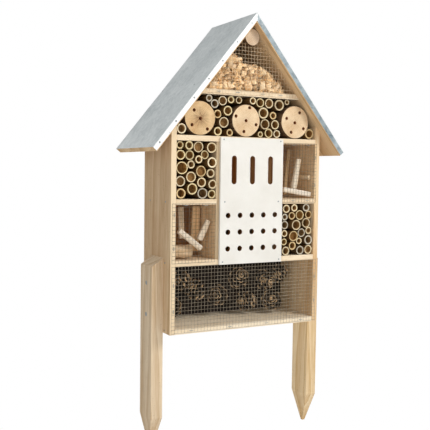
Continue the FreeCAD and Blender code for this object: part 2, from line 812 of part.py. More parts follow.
def all_nodes():
    sheets = meshes()
    fasteners = {
        "panel_nails": panel_nails(),
        "shelf_brads": shelf_brads(),
        "back_brads": back_brads(),
        "lip_nails": lip_nails(),
        "slope_nails": slope_nails(),
        "stake_screws": stake_screws(),
        "mesh_staples": mesh_staples(sheets),
    }
    every_fastener = [piece for group in fasteners.values() for piece in group] + screw_pockets()
    nodes = {}
    for name, shape in wooden_parts().items():
        nodes[name] = with_pockets(shape, every_fastener)
    for name, sheet in sheets.items():
        nodes[name] = sheet.cut_to(gable_outline()) if name == "mesh_gable" else sheet.sheet()
    nodes["apex_log"] = apex_log()
    nodes["wood_wool"] = wood_wool()
    nodes.update(log_bay())
    nodes.update(side_canes())
    nodes.update(sticks())
    nodes.update(cone_bay())
    nodes.update(fasteners)
    return nodes


def write(nodes):
    os.makedirs("parts", exist_ok=True)
    for name, shape in nodes.items():
        whole = Part.makeCompound(shape) if isinstance(shape, list) else shape
        whole.exportStep("parts/%s.step" % name)
        print(name, len(whole.Solids), whole.isValid())


write(all_nodes())
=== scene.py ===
import bmesh
import bpy
import math
import random
from mathutils import Euler, Matrix, Vector, noise
from mathutils.bvhtree import BVHTree


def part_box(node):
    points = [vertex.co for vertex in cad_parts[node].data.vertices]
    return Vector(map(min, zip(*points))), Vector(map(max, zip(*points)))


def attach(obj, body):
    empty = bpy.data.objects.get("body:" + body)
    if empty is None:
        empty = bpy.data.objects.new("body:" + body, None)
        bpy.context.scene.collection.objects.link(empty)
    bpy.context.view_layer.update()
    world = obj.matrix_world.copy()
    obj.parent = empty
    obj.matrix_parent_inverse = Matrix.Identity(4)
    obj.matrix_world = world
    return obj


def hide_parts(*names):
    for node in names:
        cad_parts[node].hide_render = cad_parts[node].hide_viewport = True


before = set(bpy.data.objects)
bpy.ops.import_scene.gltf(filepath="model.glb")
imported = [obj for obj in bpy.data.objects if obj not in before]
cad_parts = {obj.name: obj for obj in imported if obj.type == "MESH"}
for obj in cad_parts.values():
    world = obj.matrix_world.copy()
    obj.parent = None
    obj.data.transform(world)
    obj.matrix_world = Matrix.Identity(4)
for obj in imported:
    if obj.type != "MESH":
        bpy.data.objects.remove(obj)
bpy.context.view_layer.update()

millimetre = 0.001
print("frame loaded:", len(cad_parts), "nodes")


cameraView = dict(
    place=(-0.6884, -1.2047, 0.4888),
    yaw=-28.55,  # degrees, turned to the right of straight ahead
    pitch=-3.43,
    roll=0.76,
    lens=62.76,
)
studio = dict(
    aim=(0, 0, 0.45),
    skyGlow=0.3,
    skyColour=(0.97, 0.985, 1.0),
    backdrop=(1.0, 1.0, 1.0),
    floorSize=8.0,
    floorTone=(0.93, 0.93, 0.93),
    lamps=[
        dict(name="keyLamp", place=(1.2, -2.2, 2.3), size=1.1, power=57.5, tint=(1.0, 0.98, 0.95)),
        dict(name="fillLamp", place=(-1.7, -2.2, 0.7), size=1.4, power=17, tint=(1.0, 0.97, 0.93)),
        dict(name="topLamp", place=(-0.5, -0.6, 2.6), size=1.6, power=8, tint=(0.97, 0.99, 1.0)),
        dict(name="backLamp", place=(-1.0, 2.2, 1.8), size=1.6, power=10, tint=(1.0, 1.0, 1.0)),
        # faint and warm, inside the chamber behind the slots, so that their depth reads brown and not black
        dict(name="chamberLamp", kind="POINT", place=(-0.035, -0.025, 0.49), size=0.02, power=0.012,
             tint=(1.0, 0.76, 0.55)),
    ],
)


def makeCamera():
    data = bpy.data.cameras.new("camera")
    data.lens = cameraView["lens"]
    camera = bpy.data.objects.new("camera", data)
    tilt = Euler((math.radians(90 + cameraView["pitch"]), 0, math.radians(cameraView["yaw"])))
    roll = Matrix.Rotation(math.radians(cameraView["roll"]), 4, "Z")
    camera.matrix_world = Matrix.Translation(cameraView["place"]) @ tilt.to_matrix().to_4x4() @ roll
    bpy.context.scene.collection.objects.link(camera)
    bpy.context.scene.camera = camera


def makeLamps():
    aim = Vector(studio["aim"])
    for lamp in studio["lamps"]:
        data = bpy.data.lights.new(lamp["name"], lamp.get("kind", "AREA"))
        if data.type == "AREA":
            data.size = lamp["size"]
        else:
            data.shadow_soft_size = lamp["size"]
        data.energy = lamp["power"]
        data.color = lamp["tint"]
        light = bpy.data.objects.new(lamp["name"], data)
        light.location = lamp["place"]
        light.rotation_euler = (aim - light.location).to_track_quat("-Z", "Y").to_euler()
        bpy.context.scene.collection.objects.link(light)


def cameraSees(tree, usual, seen):
    # one shader for the camera's own rays, the usual one for all other light
    path = addNode(tree, "ShaderNodeLightPath")
    inputs = {0: path.outputs["Is Camera Ray"], 1: usual.outputs[0], 2: seen.outputs[0]}
    return addNode(tree, "ShaderNodeMixShader", inputs).outputs[0]


def makeSky():
    # the camera sees a plain white backdrop, the object is lit by a dimmer one
    world = bpy.data.worlds.new("sky")
    world.use_nodes = True
    tree = world.node_tree
    tree.nodes.clear()
    sky = {"Color": (*studio["skyColour"], 1), "Strength": studio["skyGlow"]}
    lit = addNode(tree, "ShaderNodeBackground", sky)
    seen = addNode(tree, "ShaderNodeBackground", {"Color": (*studio["backdrop"], 1), "Strength": 1.0})
    addNode(tree, "ShaderNodeOutputWorld", {"Surface": cameraSees(tree, lit, seen)})
    bpy.context.scene.world = world


def makeFloor():
    half = studio["floorSize"] / 2
    corners = [(-half, -half, 0), (half, -half, 0), (half, half, 0), (-half, half, 0)]
    mesh = bpy.data.meshes.new("floor")
    mesh.from_pydata(corners, [], [(0, 1, 2, 3)])
    floor = bpy.data.objects.new("floor", mesh)
    bpy.context.scene.collection.objects.link(floor)
    # plain white to the camera, so that no shadow or horizon shows; ordinary paint to every other ray
    material, tree, surface = newMaterial("floorPaint", roughness=0.9, specular=0.1)
    surface.inputs["Base Color"].default_value = (*studio["floorTone"], 1)
    glow = addNode(tree, "ShaderNodeEmission", {"Color": (*studio["backdrop"], 1), "Strength": 1.0})
    tree.links.new(cameraSees(tree, surface, glow), tree.nodes["Material Output"].inputs["Surface"])
    mesh.materials.append(material)


def setInputs(tree, node, inputs):
    # an input takes a link from another node's socket, a web colour or a plain value
    for name, value in inputs.items():
        if isinstance(value, bpy.types.NodeSocket):
            tree.links.new(value, node.inputs[name])
        else:
            node.inputs[name].default_value = tone(value) if isinstance(value, str) else value


def addNode(tree, kind, inputs=None, **settings):
    node = tree.nodes.new(kind)
    for name, value in settings.items():
        setattr(node, name, value)
    setInputs(tree, node, inputs or {})
    return node


def mixColour(tree, amount, first, second, blend="MIX"):
    inputs = {0: amount, 6: first, 7: second}
    return addNode(tree, "ShaderNodeMix", inputs, data_type="RGBA", blend_type=blend).outputs[2]


def calc(tree, operation, first, second=0.0):
    return addNode(tree, "ShaderNodeMath", {0: first, 1: second}, operation=operation).outputs[0]


def vectorCalc(tree, operation, inputs):
    return addNode(tree, "ShaderNodeVectorMath", inputs, operation=operation).outputs


def remap(tree, value, low, high, toLow=0.0, toHigh=1.0):
    inputs = {"Value": value, "From Min": low, "From Max": high, "To Min": toLow, "To Max": toHigh}
    return addNode(tree, "ShaderNodeMapRange", inputs).outputs["Result"]


def noiseOf(tree, vector, scale, detail=3.0, roughness=0.55):
    inputs = {"Vector": vector, "Scale": scale, "Detail": detail, "Roughness": roughness}
    return addNode(tree, "ShaderNodeTexNoise", inputs).outputs["Fac"]


def stretched(tree, vector, scale, offset=(0, 0, 0), turn=(0, 0, 0)):
    inputs = {"Vector": vector, "Scale": scale, "Location": offset, "Rotation": turn}
    return addNode(tree, "ShaderNodeMapping", inputs).outputs["Vector"]


def newGroup(name, inputs, outputs):
    group = bpy.data.node_groups.new(name, "ShaderNodeTree")
    for label, value in inputs.items():
        kind = "NodeSocketFloat"
        if label in ("Vector", "Light", "Dark"):
            kind = "NodeSocketVector" if label == "Vector" else "NodeSocketColor"
        socket = group.interface.new_socket(name=label, in_out="INPUT", socket_type=kind)
        if value is not None:
            socket.default_value = tone(value) if isinstance(value, str) else value
    for label in outputs:
        kind = "NodeSocketColor" if label == "Color" else "NodeSocketFloat"
        group.interface.new_socket(name=label, in_out="OUTPUT", socket_type=kind)
    start = group.nodes.new("NodeGroupInput").outputs
    end = group.nodes.new("NodeGroupOutput").inputs
    return group, start, end


def useGroup(tree, group, inputs):
    node = tree.nodes.new("ShaderNodeGroup")
    node.node_tree = group
    setInputs(tree, node, inputs)
    return node.outputs


def tone(code):
    # a web colour such as "e0c59c", as the linear colour that shaders take
    parts = [int(code[i:i + 2], 16) / 255 for i in (0, 2, 4)]
    return tuple(((p + 0.055) / 1.055) ** 2.4 if p > 0.04045 else p / 12.92 for p in parts) + (1.0,)


def newMaterial(name, roughness=0.6, metallic=0.0, specular=0.4):
    material = bpy.data.materials.new(name)
    material.use_nodes = True
    tree = material.node_tree
    surface = tree.nodes["Principled BSDF"]
    surface.inputs["Roughness"].default_value = roughness
    surface.inputs["Metallic"].default_value = metallic
    surface.inputs["Specular IOR Level"].default_value = specular
    return material, tree, surface


def middleOf(node):
    low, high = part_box(node)
    return (low + high) / 2


def here(tree):
    return addNode(tree, "ShaderNodeTexCoord").outputs["Object"]


def facingY(tree):
    # how far a face looks to the back (1) or to the front (-1)
    normal = addNode(tree, "ShaderNodeNewGeometry").outputs["Normal"]
    return addNode(tree, "ShaderNodeSeparateXYZ", {0: normal}).outputs["Y"]


def coat(tree, surface, colour, height, distance, roughness=None):
    # colour and relief of a surface, and its roughness where that varies
    bump = addNode(tree, "ShaderNodeBump", {"Height": height, "Distance": distance, "Strength": 0.6})
    setInputs(tree, surface, {"Base Color": colour, "Normal": bump.outputs["Normal"]})
    if roughness:
        tree.links.new(roughness, surface.inputs["Roughness"])


def woodGrainGroup():
    # grain runs along the vector's Z; rings are the broad bands, fibres the fine streaks
    inputs = {"Vector": None, "Light": "e8cda6", "Dark": "b98f5f", "Ring Scale": 26.0,
              "Fibre Scale": 420.0, "Ring Amount": 0.5, "Patch Amount": 0.4}
    group, start, end = newGroup("woodGrain", inputs, ("Color", "Roughness", "Height"))
    long = stretched(group, start["Vector"], (1, 1, 0.05))
    rings = addNode(group, "ShaderNodeTexWave", {
        "Vector": long, "Scale": start["Ring Scale"], "Distortion": 5.0, "Detail": 2.0, "Detail Scale": 1.2,
    }, bands_direction="DIAGONAL", wave_profile="SAW").outputs["Fac"]
    fibres = noiseOf(group, long, start["Fibre Scale"], 5.0, 0.65)
    patches = noiseOf(group, stretched(group, start["Vector"], (1, 1, 0.25)), 14.0, 3.0)
    ringPart = calc(group, "MULTIPLY", rings, start["Ring Amount"])
    fibrePart = remap(group, fibres, 0.32, 0.7, 0.0, 0.45)
    patchPart = calc(group, "MULTIPLY", remap(group, patches, 0.35, 0.7), start["Patch Amount"])
    amount = calc(group, "ADD", calc(group, "ADD", ringPart, fibrePart), patchPart)
    colour = mixColour(group, amount, start["Light"], start["Dark"])
    group.links.new(colour, end["Color"])
    group.links.new(remap(group, fibres, 0.3, 0.7, 0.55, 0.8), end["Roughness"])
    group.links.new(calc(group, "ADD", fibres, calc(group, "MULTIPLY", rings, 0.35)), end["Height"])
    return group


heartTone = "6a4426"  # the dark middle of a log


def endGrainGroup():
    # growth rings round the vector's Y axis, with fine radial checks
    inputs = {"Vector": None, "Light": "efd2a8", "Dark": "c9a071", "Rings": 420.0, "Heart": 0.0}
    group, start, end = newGroup("endGrain", inputs, ("Color", "Height"))
    flat = stretched(group, start["Vector"], (1, 0.02, 1))
    cloud = addNode(group, "ShaderNodeTexNoise", {"Vector": flat, "Scale": 55.0, "Detail": 2.0})
    wander = vectorCalc(group, "SUBTRACT", {0: cloud.outputs["Color"], 1: (0.5, 0.5, 0.5)})
    small = vectorCalc(group, "SCALE", {0: wander[0], "Scale": 0.006})
    bent = vectorCalc(group, "ADD", {0: flat, 1: small[0]})
    reach = vectorCalc(group, "LENGTH", {0: bent[0]})["Value"]
    phase = calc(group, "MULTIPLY", reach, calc(group, "MULTIPLY", start["Rings"], 6.2832))
    ring = remap(group, calc(group, "SINE", phase), -1.0, 1.0, 0.0, 0.35)
    pores = remap(group, noiseOf(group, flat, 900.0, 3.0), 0.35, 0.75, 0.0, 0.4)
    stain = remap(group, noiseOf(group, flat, 32.0, 3.0), 0.42, 0.75, 0.0, 0.5)
    ray = vectorCalc(group, "NORMALIZE", {0: flat})[0]
    checks = noiseOf(group, ray, 5.0, 4.0, 0.7)
    star = calc(group, "MULTIPLY", remap(group, checks, 0.4, 0.62, 0.2, 1.0), remap(group, reach, 0.02, 0.0))
    core = calc(group, "MULTIPLY", calc(group, "MULTIPLY", star, 1.6), start["Heart"])
    streak = calc(group, "MULTIPLY", remap(group, noiseOf(group, ray, 22.0, 3.0, 0.6), 0.5, 0.7), 0.25)
    amount = calc(group, "ADD", calc(group, "ADD", ring, pores), calc(group, "ADD", stain, streak))
    wood = mixColour(group, amount, start["Light"], start["Dark"])
    group.links.new(mixColour(group, core, wood, heartTone), end["Color"])
    group.links.new(calc(group, "ADD", pores, ring), end["Height"])
    return group


def specklesGroup():
    # scattered small marks: dust, resin specks, pin holes
    inputs = {"Vector": None, "Scale": 260.0, "Amount": 0.5}
    group, start, end = newGroup("speckles", inputs, ("Mask",))
    cells = addNode(group, "ShaderNodeTexVoronoi", {"Vector": start["Vector"], "Scale": start["Scale"]})
    dots = remap(group, cells.outputs["Distance"], 0.22, 0.1)
    pick = remap(group, noiseOf(group, start["Vector"], 40.0, 2.0), 0.5, 0.62)
    mask = calc(group, "MULTIPLY", calc(group, "MULTIPLY", dots, pick), start["Amount"])
    group.links.new(mask, end["Mask"])
    return group


def spangleGroup():
    # zinc crystals, cloudy weathering and fine rolling marks of galvanised steel
    inputs = {"Vector": None, "Light": "c9d0d2", "Dark": "8f999c", "Crystal Scale": 160.0, "Cloud": 0.5}
    group, start, end = newGroup("spangle", inputs, ("Color", "Roughness", "Height"))
    cells = addNode(group, "ShaderNodeTexVoronoi", {
        "Vector": start["Vector"], "Scale": start["Crystal Scale"], "Randomness": 1.0}).outputs["Color"]
    crystal = addNode(group, "ShaderNodeSeparateColor", {"Color": cells}).outputs[0]
    cloud = noiseOf(group, start["Vector"], 11.0, 5.0, 0.6)
    blotch = noiseOf(group, start["Vector"], 55.0, 4.0, 0.6)
    cloudPart = calc(group, "MULTIPLY", remap(group, cloud, 0.35, 0.65), start["Cloud"])
    amount = calc(group, "ADD", calc(group, "MULTIPLY", crystal, 0.3), cloudPart)
    amount = calc(group, "ADD", amount, remap(group, blotch, 0.5, 0.75, 0.0, 0.35))
    group.links.new(mixColour(group, amount, start["Light"], start["Dark"]), end["Color"])
    dull = remap(group, cloud, 0.3, 0.7, 0.42, 0.58)
    dull = calc(group, "ADD", dull, calc(group, "MULTIPLY", crystal, 0.08))
    group.links.new(dull, end["Roughness"])
    group.links.new(calc(group, "ADD", calc(group, "MULTIPLY", crystal, 0.3), cloud), end["Height"])
    return group


woodGrain = woodGrainGroup()
endGrain = endGrainGroup()
speckles = specklesGroup()
spangle = spangleGroup()
print("shared effects ready")


boardLook = dict(light="f5e6cd", dark="cfae83", rings=22.0, fibres=420.0, ringAmount=0.3, patchAmount=0.3)
wallLook = dict(light="e9d3b0", dark="b8936a", rings=16.0, fibres=380.0, ringAmount=0.4, patchAmount=0.4)
# the last tone is a painted shade, near black, for the inside behind the cones
plyLook = dict(light="deb88a", dark="b4885c", rings=11.0, fibres=300.0, ringAmount=0.5, patchAmount=0.5,
               stain="ead0ac", gableTone="6e4426", coneBayShade="1e1610")
roofWoodLook = dict(light="eed1a6", dark="bd976a", rings=14.0, fibres=360.0, ringAmount=0.45, patchAmount=0.4)
stakeLook = dict(light="ebd9bd", dark="c0a27c", rings=30.0, fibres=420.0, ringAmount=0.5, patchAmount=0.4)
stickLook = dict(light="e3cdab", dark="a98560", rings=60.0, fibres=700.0, ringAmount=0.5, patchAmount=0.6)
baseBrightenedLook = dict(boardLook, light="fff6e4", dark="dfc8a2")  # a lighter copy for the base shelf: painted light for the bay's floor, which gets little light
# a lighter copy of the wall wood, for the right wall and the dividers: painted light that brightens the bays;
# the left outer wall keeps the darker one
innerWallBrightenedLook = dict(wallLook, light="f8e2bc", dark="cfa878")
rightStakeLook = dict(stakeLook, light="fbe9c6", dark="cfad7c")
frontHighlight = dict(  # how far each board's front faces go to a lighter tone: a painted highlight, set board by board
    tone="f3dfbd",
    shelf=0.35,
    side_wall_left=0.75,
    side_wall_right=0.1,
    divider_left=0.42,
    divider_right=0.42,
)
resinTone = "7a5230"


def boardWood(name, look, grain, shift=0.0, edge=0.0):
    # edge lightens the faces that look to the front: a painted highlight
    material, tree, surface = newMaterial(name, specular=0.25)
    turn = Vector(grain).rotation_difference(Vector((0, 0, 1))).to_euler()
    vector = stretched(tree, here(tree), (1, 1, 1), (shift, shift * 0.7, shift * 1.3), tuple(turn))
    wood = useGroup(tree, woodGrain, {
        "Vector": vector, "Light": look["light"], "Dark": look["dark"], "Ring Scale": look["rings"],
        "Fibre Scale": look["fibres"], "Ring Amount": look["ringAmount"], "Patch Amount": look["patchAmount"],
    })
    marks = useGroup(tree, speckles, {"Vector": vector, "Scale": 240.0, "Amount": 0.5})
    colour = mixColour(tree, marks["Mask"], wood["Color"], resinTone)
    if edge:
        # painted highlight on the faces that look to the front
        frontLit = calc(tree, "MULTIPLY", remap(tree, facingY(tree), -0.5, -0.9), edge)
        colour = mixColour(tree, frontLit, colour, frontHighlight["tone"])
    coat(tree, surface, colour, wood["Height"], 0.0004, wood["Roughness"])
    return material


def backWood(upright):
    # pale plywood outside; inside it is a little darker, darker still towards the top in the gable, and near
    # black towards the bottom, a painted shade behind the cones
    material = boardWood("wood_back_panel", plyLook, upright, 4.3)
    tree = material.node_tree
    surface = tree.nodes["Principled BSDF"]
    outside = surface.inputs["Base Color"].links[0].from_socket
    inward = remap(tree, facingY(tree), -0.3, -0.7)
    height = addNode(tree, "ShaderNodeSeparateXYZ", {0: here(tree)}).outputs["Z"]
    low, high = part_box("lower_shelf")
    down = remap(tree, height, high.z, low.z)
    # painted shade: from the lower shelf down, the inside goes near black behind the cones
    stain = mixColour(tree, down, plyLook["stain"], plyLook["coneBayShade"])
    low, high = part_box("gable_shelf")
    up = remap(tree, height, low.z, high.z)
    stain = mixColour(tree, up, stain, plyLook["gableTone"])
    stained = mixColour(tree, 1.0, outside, stain, "MULTIPLY")
    tree.links.new(mixColour(tree, inward, outside, stained), surface.inputs["Base Color"])
    return material


def paintNode(node, material):
    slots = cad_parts[node].data.materials
    slots.clear()
    slots.append(material)


def paintBoards():
    across, upright = (1, 0, 0), (0, 0, 1)
    shelves = ["base_shelf", "lower_shelf", "top_shelf", "middle_shelf_left", "middle_shelf_center",
               "middle_shelf_right", "gable_shelf"]
    for number, node in enumerate(shelves):
        look = baseBrightenedLook if node == "base_shelf" else boardLook
        paintNode(node, boardWood("wood_" + node, look, across, number * 0.37, frontHighlight["shelf"]))
    for number, node in enumerate(["side_wall_left", "side_wall_right", "divider_left", "divider_right"]):
        look = wallLook if node == "side_wall_left" else innerWallBrightenedLook
        paintNode(node, boardWood("wood_" + node, look, upright, 2 + number * 0.41, frontHighlight[node]))
    paintNode("back_panel", backWood(upright))
    low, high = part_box("roof_board_right")
    run, drop = high.x - low.x, low.z - high.z
    for side, grain, shift in (("right", (run, 0, drop), 5.1), ("left", (-run, 0, drop), 5.9)):
        node = "roof_board_" + side
        paintNode(node, boardWood("wood_" + node, roofWoodLook, grain, shift))
    for number, (node, look) in enumerate((("stake_left", stakeLook), ("stake_right", rightStakeLook))):
        paintNode(node, boardWood("wood_" + node, look, upright, 7 + number * 0.33))


panelLook = dict(
    paint="eceae4",
    shadow="e2dfd7",
    marks="b7ab98",
    cut="8f5a2e",
    cutDark="683e1e",
    stipple=900.0,
    rim=3.0,  # the outer edge stays painted this far in, mm
)
zincLook = dict(light="b9bfc1", dark="7f8688")


def paintPanel():
    material, tree, surface = newMaterial("whitePaint", roughness=0.55, specular=0.35)
    vector = here(tree)
    stipple = noiseOf(tree, vector, panelLook["stipple"], 4.0)
    drift = noiseOf(tree, vector, 16.0, 3.0)
    colour = mixColour(tree, remap(tree, drift, 0.35, 0.7), panelLook["paint"], panelLook["shadow"])
    marks = useGroup(tree, speckles, {"Vector": vector, "Scale": 320.0, "Amount": 0.25})
    colour = mixColour(tree, marks["Mask"], colour, panelLook["marks"])
    # the slots and holes are cut through after painting: their walls are bare brown wood
    low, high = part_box("butterfly_panel")
    middle = middleOf("butterfly_panel")
    turned = remap(tree, calc(tree, "ABSOLUTE", facingY(tree)), 0.5, 0.3)
    spot = addNode(tree, "ShaderNodeSeparateXYZ", {0: vector})
    offX = calc(tree, "ABSOLUTE", calc(tree, "SUBTRACT", spot.outputs["X"], middle.x))
    offZ = calc(tree, "ABSOLUTE", calc(tree, "SUBTRACT", spot.outputs["Z"], middle.z))
    rim = panelLook["rim"] * millimetre
    inside = calc(tree, "LESS_THAN", offX, (high.x - low.x) / 2 - rim)
    inside = calc(tree, "MULTIPLY", inside, calc(tree, "LESS_THAN", offZ, (high.z - low.z) / 2 - rim))
    bare = mixColour(tree, stipple, panelLook["cut"], panelLook["cutDark"])
    colour = mixColour(tree, calc(tree, "MULTIPLY", turned, inside), colour, bare)
    coat(tree, surface, colour, stipple, 0.00015, remap(tree, stipple, 0.3, 0.7, 0.48, 0.66))
    paintNode("butterfly_panel", material)


def zincMaterial(name, roughness=0.45):
    material, tree, surface = newMaterial(name, roughness=roughness, metallic=0.85, specular=0.5)
    zinc = useGroup(tree, spangle, {
        "Vector": here(tree), "Light": zincLook["light"], "Dark": zincLook["dark"],
        "Crystal Scale": 900.0, "Cloud": 0.4,
    })
    coat(tree, surface, zinc["Color"], zinc["Height"], 0.00008)
    return material


def paintFasteners():
    zinc = zincMaterial("fastenerZinc")
    for node in ("panel_nails", "shelf_brads", "back_brads", "lip_nails", "slope_nails", "stake_screws",
                 "mesh_staples"):
        paintNode(node, zinc)


def finishPiece(name, target, materials, nodes, sharp=40.0):
    bmesh.ops.recalc_face_normals(target, faces=target.faces)
    mesh = bpy.data.meshes.new(name)
    target.to_mesh(mesh)
    target.free()
    for material in materials:
        mesh.materials.append(material)
    mesh.shade_smooth()
    mesh.set_sharp_from_angle(angle=math.radians(sharp))
    piece = bpy.data.objects.new(name, mesh)
    bpy.context.scene.collection.objects.link(piece)
    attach(piece, "root")
    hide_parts(*nodes)


def anglesOf(sides):
    return [2 * math.pi * k / sides for k in range(sides)]


def loft(target, rings, caps=(False, False)):
    # skins a row of closed rings of points, all with the same number of points
    rows = [[target.verts.new(point) for point in ring] for ring in rings]
    count = len(rows[0])
    faces = []
    for first, second in zip(rows, rows[1:]):
        for k in range(count):
            j = (k + 1) % count
            faces.append(target.faces.new((first[k], first[j], second[j], second[k])))
    if caps[0]:
        faces.append(target.faces.new(rows[0][::-1]))
    if caps[1]:
        faces.append(target.faces.new(rows[-1]))
    return rows, faces


def solidOf(node):
    # a node's own mesh with its doubled corners joined
    solid = bmesh.new()
    solid.from_mesh(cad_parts[node].data)
    bmesh.ops.remove_doubles(solid, verts=solid.verts, dist=0.01 * millimetre)
    return solid


def tintLayer(target):
    return target.verts.layers.float_color.get("tint") or target.verts.layers.float_color.new("tint")


def clusters(verts, joins):
    # the points of each group of vertices that edges join, counting the edges for which joins(edge) is true
    left = set(verts)
    groups = []
    for seed in verts:
        if seed not in left:
            continue
        left.remove(seed)
        heap = [seed]
        groups.append([])
        while heap:
            vertex = heap.pop()
            groups[-1].append(vertex.co.copy())
            for edge in vertex.link_edges:
                other = edge.other_vert(vertex)
                if other in left and joins(edge):
                    left.remove(other)
                    heap.append(other)
    return groups


def islands(node):
    # the boxes of a node's separate solids, as (lowest corner, highest corner)
    solid = solidOf(node)
    boxes = []
    for points in clusters(solid.verts, lambda edge: True):
        low = Vector([min(p[k] for p in points) for k in range(3)])
        high = Vector([max(p[k] for p in points) for k in range(3)])
        boxes.append((low, high))
    solid.free()
    return sorted(boxes, key=lambda pair: (round(pair[0].z, 4), round(pair[0].x, 4)))


caneLook = dict(
    sides=32,
    wall=(1.9, 2.9),  # thinnest and thickest wall, mm
    oval=0.04,
    edge=0.25,  # how far the cut ends are rounded, mm
    shade=(0.82, 1.05),  # how dull or bright one cane is against the next
    septum=(4, 20),  # how deep the stem's inner wall lies, mm
    streak="a5804f",
    finishes=[  # skin, cut end and bore: brown, scale of the fibres, depth of the relief in metres
        # the skin's dark brown is partly its own colour and partly painted shade, for skins seen deep between
        # the cane ends
        ("caneSkinPaintedShade", "6e5636", 500.0, 0.0002),
        ("caneEnd", "ffffff", 1500.0, 0.0003),
        ("caneBore", "a98a60", 420.0, 0.0004),
    ],
    tints=["f6e6be", "eedeae", "e8d9b4", "faeecd", "d2ccba", "e8ce9a"],
)


def tintOf(target, faces, colour):
    layer = tintLayer(target)
    for face in faces:
        for vertex in face.verts:
            vertex[layer] = colour


def caneRing(centre, y, radius, oval, phase, sides):
    ring = []
    for angle in anglesOf(sides):
        reach = radius * (1 - oval * (0.5 + 0.5 * math.cos(2 * angle + phase)))
        ring.append(Vector((centre.x + reach * math.cos(angle), y, centre.z + reach * math.sin(angle))))
    return ring


def addCane(target, low, high, chance):
    centre = (low + high) / 2
    radius = (high.x - low.x) / 2
    wall = chance.uniform(*caneLook["wall"]) * millimetre
    edge = caneLook["edge"] * millimetre
    septum = low.y + chance.uniform(*caneLook["septum"]) * millimetre
    oval = caneLook["oval"] * chance.uniform(0.3, 1.0)
    phase = chance.uniform(0, 6.28)
    joint = chance.uniform(low.y + 0.03, high.y - 0.01)
    stops = [  # depth, radius, material of the stretch that ends there
        (septum, radius - wall, 2), (low.y + edge, radius - wall, 2), (low.y, radius - wall + edge, 1),
        (low.y, radius - edge, 1), (low.y + edge, radius - 0.15 * edge, 0), (joint - 0.003, radius - edge, 0),
        (joint, radius, 0), (joint + 0.002, radius - edge, 0), (high.y, radius - edge, 0),
    ]
    rings = [caneRing(centre, y, reach, oval, phase, caneLook["sides"]) for y, reach, _ in stops]
    faces = loft(target, rings, caps=(True, True))[1]
    sides = caneLook["sides"]
    for number, face in enumerate(faces[:-2]):
        face.material_index = stops[number // sides + 1][2]
    faces[-2].material_index = 2
    tint = Vector(tone(chance.choice(caneLook["tints"]))[:3]) * chance.uniform(*caneLook["shade"])
    tintOf(target, faces, (*tint, 1.0))


def caneMaterials():
    made = []
    for name, brown, fineScale, distance in caneLook["finishes"]:
        material, tree, surface = newMaterial(name, roughness=0.65, specular=0.3)
        vector = here(tree)
        tint = addNode(tree, "ShaderNodeAttribute", {}, attribute_name="tint").outputs["Color"]
        fibres = noiseOf(tree, stretched(tree, vector, (1, 0.06, 1)), fineScale, 4.0)
        base = mixColour(tree, 1.0, tint, brown, "MULTIPLY")
        streak = remap(tree, fibres, 0.35, 0.7, 0.0, 0.55)
        darker = mixColour(tree, 1.0, base, caneLook["streak"], "MULTIPLY")
        colour = mixColour(tree, streak, base, darker)
        coat(tree, surface, colour, fibres, distance, remap(tree, fibres, 0.3, 0.7, 0.5, 0.8))
        made.append(material)
    return made


def makeCanes():
    materials = caneMaterials()
    for number, node in enumerate(("canes_left_bay", "canes_right_bay", "canes_log_bay")):
        chance = random.Random(11 + number)
        target = bmesh.new()
        for low, high in islands(node):
            addCane(target, low, high, chance)
        finishPiece(node + "_look", target, materials, [node], 50.0)


logLook = dict(
    sides=96,
    wobble=0.012,
    edge=0.8,  # this and the two below in mm
    drillEdge=0.35,
    drillDepth=58.0,
    drillBrown="b0764c",
    drillDark="7a4526",
    drillSides=24,
    marks="8b5a34",
    bark=dict(light="86694a", dark="4a3524"),
)
logEnds = dict(  # light and dark tone of the cut end, and how dark its heart is
    log_left=("eed4a8", "bd9260", 0.75),
    log_center=("f4dfbd", "cba579", 0.15),
    log_right=("f4dfbd", "cba579", 0.2),
    apex_log=("ecd9c0", "c4a482", 0.1),
)


def logMaterials(node, centre):
    light, dark, heart = logEnds[node]
    face, tree, surface = newMaterial("endGrain_" + node, roughness=0.75, specular=0.2)
    vector = stretched(tree, here(tree), (1, 1, 1), tuple(-centre))
    grain = useGroup(tree, endGrain, {"Vector": vector, "Light": light, "Dark": dark, "Heart": heart})
    marks = useGroup(tree, speckles, {"Vector": vector, "Scale": 300.0, "Amount": 0.6})
    colour = mixColour(tree, marks["Mask"], grain["Color"], logLook["marks"])
    coat(tree, surface, colour, grain["Height"], 0.0003)
    side = boardWood("logSide_" + node, dict(stickLook, **logLook["bark"]), (0, 1, 0), centre.x * 9)
    drill, tree, surface = newMaterial("drillHole_" + node, roughness=0.8, specular=0.15)
    char = noiseOf(tree, here(tree), 800.0, 3.0)
    brown = mixColour(tree, char, logLook["drillBrown"], logLook["drillDark"])
    tree.links.new(brown, surface.inputs["Base Color"])
    return [face, side, drill]


def drillRings(node):
    # the drilled holes' mouths: centre and radius, read from the node's own rims on its front face
    solid = solidOf(node)
    front = min(v.co.y for v in solid.verts)
    rims = [v for v in solid.verts if v.co.y < front + 0.01 * millimetre]
    holes = []
    for loop in clusters(rims, lambda edge: len(edge.link_faces) == 2 and edge.calc_face_angle(0) > 1.0):
        middle = sum(loop, Vector()) / len(loop)
        holes.append((middle, max((p - middle).length for p in loop)))
    solid.free()
    biggest = max(holes, key=lambda hole: hole[1])
    return [hole for hole in holes if hole is not biggest]


def wobblyCircle(centre, y, radius, sides, wobble, seed):
    ring = []
    for angle in anglesOf(sides):
        rough = noise.noise(Vector((math.cos(angle) * 2.2, math.sin(angle) * 2.2, seed)))
        reach = radius * (1 - wobble * (0.5 + rough))
        ring.append(Vector((centre.x + reach * math.cos(angle), y, centre.z + reach * math.sin(angle))))
    return ring


def fillWithHoles(target, outer, inner):
    # a flat face between one outer loop and any number of inner ones
    loops = [[target.verts.new(p) for p in ring] for ring in [outer] + inner]
    edges = [target.edges.new((loop[k], loop[k - 1])) for loop in loops for k in range(len(loop))]
    bmesh.ops.triangle_fill(target, edges=edges, use_beauty=True, use_dissolve=False)
    return loops


